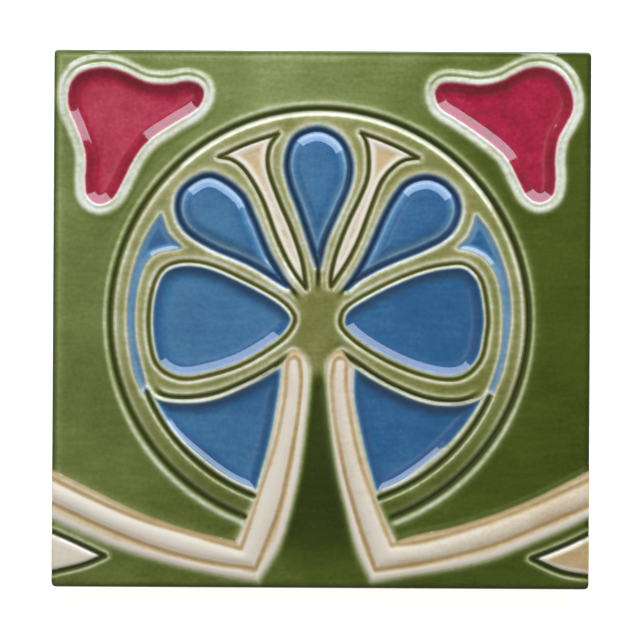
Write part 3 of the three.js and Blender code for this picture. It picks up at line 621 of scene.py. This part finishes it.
OUTLINES = ("heart", "teardrop", "horn", "petal", "crescent", "corner_panel", "strap", "leaf")
RIM_ROWS = (0, 0.05, 0.15, 0.3, 0.6, 1.1, 1.8)  # distances from the face's rim
RIM_STEP = 0.6
LINE_STEP = 0.8  # along a line that heights and glaze are measured from
STEP_ALONG = 0.55  # along a row
CLOSEST = 0.21  # rows of neighbouring lines merge where they come closer than this
FINE_STEP = 0.55  # the net's step in the gaps between rows
FREE_STEP = 1.4  # the net's step on the open field
FINE_GAP = (0.45, 0.85)  # the fine net fills only the gaps this far from the rows
CLEAR_OF_ROWS = 0.7
RIM_MARGIN = 0.4  # between the rim's innermost row and the net


def rows_along(name, lines):
    """Points beside a line, in rows at the distances from ROWS, of which positive ones are inside."""
    inward = 1
    if name in OUTLINES:
        x, y = np.vstack(lines).T
        inward = 1 if np.sum(x * np.roll(y, -1) - np.roll(x, -1) * y) > 0 else -1
    rows = []
    for line in lines:
        along = np.gradient(line, axis=0)
        along /= np.linalg.norm(along, axis=1)[:, None]
        left = np.column_stack([-along[:, 1], along[:, 0]]) * inward
        for offset in ROWS[name]:
            moved = line + offset * left
            rows.append(moved[distance_to(moved, lines) > abs(offset) - 0.06])
    return rows


def rim_rows():
    """Rows of points along the face's rim, which runs around the tile's corners in small arcs."""
    rows = []
    steps = np.linspace(-1, 1, 2 * round(HALF_SIDE / RIM_STEP) + 1)
    for inset in RIM_ROWS:
        along, across = steps * (HALF_SIDE - inset), np.full(len(steps), HALF_SIDE - inset)
        for sign in (-1, 1):
            rows.append(np.column_stack([along, sign * across]))
            rows.append(np.column_stack([sign * across, along])[1:-1])
    points = np.vstack(rows)
    beyond = np.abs(points) - (HALF_SIDE - CORNER_RADIUS)
    in_corner = (beyond > 0).all(1)
    reach = beyond[in_corner].max(1) / np.hypot(*beyond[in_corner].T)
    points[in_corner] -= np.sign(points[in_corner]) * beyond[in_corner] * (1 - reach)[:, None]
    return points


def net_points():
    limit = HALF_SIDE - RIM_ROWS[-1] - RIM_MARGIN
    lined = np.vstack([row for name, lines in tile_lines(STEP_ALONG) for row in rows_along(name, lines)])
    kept = thinned(np.vstack([rim_rows(), lined[np.abs(lined).max(1) < limit]]), CLOSEST)
    fine = square_grid(limit, FINE_STEP)
    gap = distance_to_points(fine, kept)
    kept = thinned(np.vstack([kept, fine[(gap > FINE_GAP[0]) & (gap < FINE_GAP[1])]]), CLOSEST)
    free = square_grid(limit, FREE_STEP)
    return np.vstack([kept, free[distance_to_points(free, kept) > CLEAR_OF_ROWS]])


def square_grid(limit, step):
    """A grid whose every second row is moved by half a step."""
    at = np.linspace(-limit, limit, 2 * round(limit / step) + 1)
    grid = np.stack(np.meshgrid(at, at), -1)
    grid[1::2, :, 0] += step / 2
    grid = grid.reshape(-1, 2)
    return grid[np.abs(grid).max(1) <= limit]


def tree_of(points):
    tree = KDTree(len(points))
    for i, (x, y) in enumerate(points):
        tree.insert((x, y, 0), i)
    tree.balance()
    return tree


def distance_to_points(points, others):
    tree = tree_of(others)
    return np.array([tree.find((x, y, 0))[2] for x, y in points])


def thinned(points, closest):
    """The points in their order, without those that are too close to an earlier one."""
    tree = tree_of(points)
    keep = np.ones(len(points), bool)
    for i, (x, y) in enumerate(points):
        if keep[i]:
            for _, j, _ in tree.find_range((x, y, 0), closest):
                if j > i:
                    keep[j] = False
    return points[keep]


def carve_back(bm, rim):
    """Closes the back inside the rim's edges, with a row of keying grooves in it."""
    grooves = []
    for i in range(KEY_GROOVE_COUNT):
        y = (i - (KEY_GROOVE_COUNT - 1) / 2) * KEY_GROOVE_PITCH
        x_reach, y_reach = KEY_GROOVE_LENGTH / 2, KEY_GROOVE_WIDTH / 2
        corners = [bm.verts.new((sx * x_reach * MM, (y + sy * y_reach) * MM, 0))
                   for sx, sy in ((-1, -1), (1, -1), (1, 1), (-1, 1))]
        grooves.append([bm.edges.new((a, b)) for a, b in zip(corners, corners[1:] + corners[:1])])
    outline = rim + [edge for groove in grooves for edge in groove]
    back = bmesh.ops.triangle_fill(bm, use_beauty=True, edges=outline, normal=(0, 0, -1))["geom"]
    faces = [g for g in back if isinstance(g, bmesh.types.BMFace)]
    for groove in grooves:
        walls = bmesh.ops.extrude_edge_only(bm, edges=groove)["geom"]
        bmesh.ops.translate(bm, vec=(0, 0, KEY_GROOVE_DEPTH * MM),
                            verts=[g for g in walls if isinstance(g, bmesh.types.BMVert)])
        edges = [g for g in walls if isinstance(g, bmesh.types.BMEdge) and all(v.co.z > 0 for v in g.verts)]
        floor = bmesh.ops.contextual_create(bm, geom=edges)["faces"]
        faces += floor + [g for g in walls if isinstance(g, bmesh.types.BMFace)]
    return faces


def pressed_tile():
    """The whole tile: its relief face, its walls and its back. No operator draws relief of such fine lines,
    so the face's points are placed by the lines' cross-sections, and operators make the rest from it."""
    points = net_points()
    face = face_at(points)
    triangles = delaunay_2d_cdt([Vector(point) for point in points], [], [], 0, 1e-5, False)[2]
    bm = bmesh.new()
    heights = FIELD_TOP + face.height
    verts = [bm.verts.new((x * MM, y * MM, z * MM)) for (x, y), z in zip(points, heights)]
    for triangle in triangles:
        bm.faces.new([verts[i] for i in triangle]).smooth = True
    bm.normal_update()
    if sum(made.normal.z for made in bm.faces) < 0:
        bmesh.ops.reverse_faces(bm, faces=bm.faces)
    rim = [edge for edge in bm.edges if edge.is_boundary]
    walls = bmesh.ops.extrude_edge_only(bm, edges=rim)["geom"]
    for vert in (g for g in walls if isinstance(g, bmesh.types.BMVert)):
        vert.co.z = 0
    foot = [g for g in walls if isinstance(g, bmesh.types.BMEdge) and all(v.co.z == 0 for v in g.verts)]
    unglazed = [g for g in walls if isinstance(g, bmesh.types.BMFace)] + carve_back(bm, foot)
    for flat in unglazed:
        flat.smooth = False
        flat.material_index = 1
    for edge in rim:
        edge.smooth = False
    bmesh.ops.recalc_face_normals(bm, faces=bm.faces)
    mesh = bpy.data.meshes.new("glazed_tile")
    bm.to_mesh(mesh)
    bare = np.zeros(len(mesh.vertices) - len(points))
    for name, values in (("glaze_depth_and_painted_light", face.thickness()), ("blue_glaze", face.blue),
                         ("red_glaze", face.red), ("ivory_glaze", face.ivory), ("amber_glaze", face.amber)):
        attribute = mesh.attributes.new(name, "FLOAT", "POINT")
        attribute.data.foreach_set("value", np.concatenate([values, bare]).astype(np.float32))
    made = bpy.data.objects.new("glazed_tile", mesh)
    bpy.context.scene.collection.objects.link(made)
    return made


# Materials

def colour(text, alpha=1.0):
    """An sRGB hex value as linear red, green, blue and alpha."""
    values = [int(text[i:i + 2], 16) / 255 for i in (1, 3, 5)]
    return [v / 12.92 if v <= 0.04045 else ((v + 0.055) / 1.055) ** 2.4 for v in values] + [alpha]


def node(tree, kind, settings=None, stops=(), **links):
    """Adds a node. Settings are its own values, and stops are a ramp's. Links go to its inputs by name or
    _number, as sockets or values."""
    made = tree.nodes.new(kind)
    for key, value in (settings or {}).items():
        setattr(made, key, value)
    for i, (position, text) in enumerate(stops):
        if i >= len(made.color_ramp.elements):
            made.color_ramp.elements.new(1)
        made.color_ramp.elements[i].position = position
        made.color_ramp.elements[i].color = colour(text)
    for key, value in links.items():
        target = made.inputs[int(key[1:])] if key[0] == "_" else made.inputs[key.replace("_", " ")]
        if isinstance(value, bpy.types.NodeSocket):
            tree.links.new(value, target)
        else:
            target.default_value = value
    return made


# Each glaze from its thinnest, over the pale clay, to its thickest
GREEN = ((0, "#DFE2D4"), (0.1, "#BCC19D"), (0.2, "#9BA46E"), (0.3, "#7F8B4E"), (0.4, "#697636"),
         (0.55, "#4C5A17"), (0.7, "#37450A"), (0.85, "#293404"), (1, "#1C2209"))
AMBER = ((0, "#DFE0D4"), (0.1, "#C4C09C"), (0.2, "#AAA16E"), (0.3, "#91874B"), (0.4, "#7B7034"),
         (0.55, "#5F551E"), (0.7, "#484012"), (0.85, "#34300A"), (1, "#1F2009"))
BLUE = ((0, "#CBD4D7"), (0.1, "#9FB6C5"), (0.2, "#759BB6"), (0.35, "#4980A5"), (0.5, "#2C6390"),
        (0.65, "#1D4C74"), (0.8, "#183450"), (1, "#101E2E"))
RED = ((0, "#DFCECB"), (0.15, "#D48F9F"), (0.3, "#C44A66"), (0.6, "#AE1D42"), (0.8, "#861529"),
       (1, "#5A0E1C"))
IVORY = ((0, "#EEEADF"), (0.35, "#E4DAC5"), (0.5, "#CFB88C"), (0.65, "#B99E6E"), (0.8, "#98835A"),
         (1, "#6B5A38"))


def majolica_glaze():
    """Majolica glaze: coloured lead glaze, melted over pressed earthenware into a hard, wet-looking skin. It
    looks deep: the colour follows the glaze's thickness, which also carries painted light and shade beside
    some lines, with faint clouds where it melted unevenly, fine specks and faint strokes of the brush from
    left to right."""
    material = bpy.data.materials.new("majolica_glaze")
    material.use_nodes = True
    tree = material.node_tree
    tree.nodes.clear()
    place = node(tree, "ShaderNodeTexCoord").outputs["Object"]
    strokes = node(tree, "ShaderNodeMapping", Vector=place, Scale=(0.18, 1, 1)).outputs["Vector"]

    def mottled(size, low, high, detail=3.0, along=place):
        """Spots about size mm across, with values from low to high."""
        spots = node(tree, "ShaderNodeTexNoise", Vector=along, Scale=1 / (size * MM), Detail=detail)
        return node(tree, "ShaderNodeMapRange", Value=spots.outputs["Fac"], From_Min=0.3, From_Max=0.7,
                    To_Min=low, To_Max=high).outputs["Result"]

    def uneven(*changes):
        """The glaze's thickness, which also carries painted light and shade, with all changes added."""
        total = node(tree, "ShaderNodeAttribute", {"attribute_name": "glaze_depth_and_painted_light"}).outputs["Fac"]
        for change in changes:
            total = node(tree, "ShaderNodeMath", {"operation": "ADD"}, _0=total, _1=change).outputs[0]
        return total

    calm = uneven(mottled(14, -0.045, 0.045), mottled(1.2, -0.03, 0.03),
                  mottled(1.5, -0.025, 0.025, along=strokes))
    cloudy = uneven(mottled(6, -0.08, 0.08, detail=4.0), mottled(1.1, -0.07, 0.07))
    shown = node(tree, "ShaderNodeValToRGB", stops=GREEN, Fac=calm).outputs["Color"]
    for name, depth, stops in (("amber_glaze", calm, AMBER), ("ivory_glaze", calm, IVORY),
                               ("blue_glaze", calm, BLUE), ("red_glaze", cloudy, RED)):
        share = node(tree, "ShaderNodeAttribute", {"attribute_name": name}).outputs["Fac"]
        if name == "amber_glaze":
            share = node(tree, "ShaderNodeMath", {"operation": "MULTIPLY"}, _0=share,
                         _1=mottled(5, 0.2, 1.6)).outputs[0]
        glaze = node(tree, "ShaderNodeValToRGB", stops=stops, Fac=depth).outputs["Color"]
        shown = node(tree, "ShaderNodeMix", {"data_type": "RGBA"}, _0=share, _6=shown, _7=glaze).outputs[2]
    ripple = node(tree, "ShaderNodeTexNoise", Vector=place, Scale=1 / (4 * MM), Detail=2.0).outputs["Fac"]
    bump = node(tree, "ShaderNodeBump", Height=ripple, Strength=0.5, Distance=0.05 * MM).outputs["Normal"]
    shader = node(tree, "ShaderNodeBsdfPrincipled", Base_Color=shown, Roughness=0.06, IOR=1.65, Normal=bump)
    node(tree, "ShaderNodeOutputMaterial", Surface=shader.outputs["BSDF"])
    return material


DRIPS_HIGH, DRIPS_LOW = 7.4, 4.6  # heights between which the drips end


def bare_earthenware():
    """Buff earthenware: fired clay with no glaze, dry and matt, with drips of glaze on top of the walls."""
    material = bpy.data.materials.new("bare_earthenware")
    material.use_nodes = True
    tree = material.node_tree
    tree.nodes.clear()
    place = node(tree, "ShaderNodeTexCoord").outputs["Object"]
    grain = node(tree, "ShaderNodeTexNoise", Vector=place, Scale=1 / (1.4 * MM), Detail=5.0).outputs["Fac"]
    clay = node(tree, "ShaderNodeValToRGB", stops=((0.3, "#B39B78"), (0.7, "#D6C3A2")), Fac=grain)
    height = node(tree, "ShaderNodeSeparateXYZ", Vector=place).outputs["Z"]
    waves = node(tree, "ShaderNodeTexNoise", Vector=place, Scale=1 / (6 * MM), Detail=3.0).outputs["Fac"]
    drip_end = node(tree, "ShaderNodeMapRange", Value=waves, From_Min=0.3, From_Max=0.7,
                    To_Min=DRIPS_HIGH * MM, To_Max=DRIPS_LOW * MM).outputs["Result"]
    over = node(tree, "ShaderNodeMath", {"operation": "SUBTRACT"}, _0=height, _1=drip_end).outputs[0]
    glazed = node(tree, "ShaderNodeMapRange", Value=over, From_Min=-0.1 * MM, From_Max=0.2 * MM)
    shown = node(tree, "ShaderNodeMix", {"data_type": "RGBA"}, _0=glazed.outputs["Result"],
                 _6=clay.outputs["Color"], _7=colour("#5A6227")).outputs[2]
    gloss = node(tree, "ShaderNodeMapRange", Value=glazed.outputs["Result"], To_Min=0.85, To_Max=0.15)
    pits = node(tree, "ShaderNodeBump", Height=grain, Strength=0.4, Distance=0.15 * MM).outputs["Normal"]
    shader = node(tree, "ShaderNodeBsdfPrincipled", Base_Color=shown, Roughness=gloss.outputs["Result"],
                  IOR=1.5, Normal=pits)
    node(tree, "ShaderNodeOutputMaterial", Surface=shader.outputs["BSDF"])
    return material


tile = pressed_tile()
tile.data.materials.append(majolica_glaze())
tile.data.materials.append(bare_earthenware())
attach(tile, "root")
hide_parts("tile")


# Floor, light and camera

FLOOR_REACH = 1.5  # metres from the tile to each side
FLOOR_GLOW = 0.75  # lifts the paper to plain white
LIGHT_DISTANCE = 1.0  # metres
LIGHT_FROM, LIGHT_TO = -43, 57  # degrees clockwise from north, seen from above
LIGHT_LOW, LIGHT_HIGH = 75, 37  # degrees off the vertical
LIGHT_RADIANCE = 5.2
LIGHT_TINT = "#E9EEFC"
GLOW_SIDE = -55  # degrees clockwise from north
GLOW_TILT = 12  # degrees off the vertical, as are the widths
GLOW_WIDTH = 11
GLOW_PEAK = 0.7
ZENITH_WIDTH = 14
ZENITH_STRENGTH = 0.03
ROOM_STRENGTH = 0.3
ROOM_TINT = "#FFF6E6"


def white_floor():
    bm = bmesh.new()
    bmesh.ops.create_grid(bm, x_segments=1, y_segments=1, size=FLOOR_REACH)
    mesh = bpy.data.meshes.new("floor")
    bm.to_mesh(mesh)
    floor = bpy.data.objects.new("floor", mesh)
    bpy.context.scene.collection.objects.link(floor)
    material = bpy.data.materials.new("white_paper")
    material.use_nodes = True
    shader = material.node_tree.nodes["Principled BSDF"]
    shader.inputs["Base Color"].default_value = colour("#F6F6F6")
    shader.inputs["Roughness"].default_value = 0.9
    shader.inputs["Emission Color"].default_value = colour("#FFFFFF")
    shader.inputs["Emission Strength"].default_value = FLOOR_GLOW
    mesh.materials.append(material)


def direction(from_north, off_vertical):
    """A unit vector: degrees clockwise from north, seen from above, and degrees down from straight up."""
    turn, tilt = math.radians(from_north), math.radians(off_vertical)
    return Vector((math.sin(tilt) * math.sin(turn), math.sin(tilt) * math.cos(turn), math.cos(tilt)))


def strip_light():
    """A long soft light, curved around the tile's upper edge like a strip of a sphere around the tile."""
    bm = bmesh.new()
    columns, rows = 26, 6
    bmesh.ops.create_grid(bm, x_segments=columns, y_segments=rows, size=1)
    for vert in bm.verts:
        across, up = (vert.co.x + 1) / 2, (vert.co.y + 1) / 2
        vert.co = LIGHT_DISTANCE * direction(LIGHT_FROM + across * (LIGHT_TO - LIGHT_FROM),
                                             LIGHT_LOW + up * (LIGHT_HIGH - LIGHT_LOW))
    mesh = bpy.data.meshes.new("strip_light")
    bm.to_mesh(mesh)
    strip = bpy.data.objects.new("strip_light", mesh)
    bpy.context.scene.collection.objects.link(strip)
    material = bpy.data.materials.new("lit_cloth")
    material.use_nodes = True
    tree = material.node_tree
    tree.nodes.clear()
    shine = node(tree, "ShaderNodeEmission", Color=colour(LIGHT_TINT), Strength=LIGHT_RADIANCE)
    node(tree, "ShaderNodeOutputMaterial", Surface=shine.outputs["Emission"])
    mesh.materials.append(material)


def studio_world():
    """A dim room, darkest above the camera, with one soft glow high up to the upper left."""
    world = bpy.data.worlds.new("studio")
    world.use_nodes = True
    tree = world.node_tree
    tree.nodes.clear()
    towards = node(tree, "ShaderNodeTexCoord").outputs["Generated"]

    def bright_spot(centre, width, peak):
        """peak * exp(-(angle from centre / width) ** 2), written with the cosine of the angle."""
        dot = node(tree, "ShaderNodeVectorMath", {"operation": "DOT_PRODUCT"}, _0=towards,
                   _1=tuple(centre)).outputs["Value"]
        sharpness = 2 / math.radians(width) ** 2
        power = node(tree, "ShaderNodeMath", {"operation": "MULTIPLY_ADD"}, _0=dot, _1=sharpness,
                     _2=-sharpness).outputs[0]
        falloff = node(tree, "ShaderNodeMath", {"operation": "EXPONENT"}, _0=power).outputs[0]
        return node(tree, "ShaderNodeMath", {"operation": "MULTIPLY"}, _0=falloff, _1=peak).outputs[0]

    glow = bright_spot(direction(GLOW_SIDE, GLOW_TILT), GLOW_WIDTH, GLOW_PEAK)
    shade = bright_spot(direction(0, 0), ZENITH_WIDTH, ZENITH_STRENGTH - ROOM_STRENGTH)
    total = node(tree, "ShaderNodeMath", {"operation": "ADD"}, _0=glow, _1=shade).outputs[0]
    total = node(tree, "ShaderNodeMath", {"operation": "ADD"}, _0=total, _1=ROOM_STRENGTH).outputs[0]
    background = node(tree, "ShaderNodeBackground", Color=colour(ROOM_TINT), Strength=total)
    node(tree, "ShaderNodeOutputWorld", Surface=background.outputs["Background"])
    bpy.context.scene.world = world


white_floor()
strip_light()
studio_world()

FOCAL_LENGTH = 135  # mm, on a sensor 36 mm wide
WIDTH_SHOWN = 182.5 * MM
CAMERA_X, CAMERA_Y = 0.15 * MM, -0.73 * MM
CAMERA_ROLL = 0.32  # degrees
camera_data = bpy.data.cameras.new("camera")
camera_data.lens = FOCAL_LENGTH
camera_data.sensor_width = 36
camera = bpy.data.objects.new("camera", camera_data)
camera_height = FIELD_TOP * MM + WIDTH_SHOWN * FOCAL_LENGTH / camera_data.sensor_width
camera.location = (CAMERA_X, CAMERA_Y, camera_height)
camera.rotation_euler = (0, 0, math.radians(CAMERA_ROLL))
bpy.context.scene.collection.objects.link(camera)
bpy.context.scene.camera = camera
bpy.context.scene.view_settings.view_transform = "Standard"
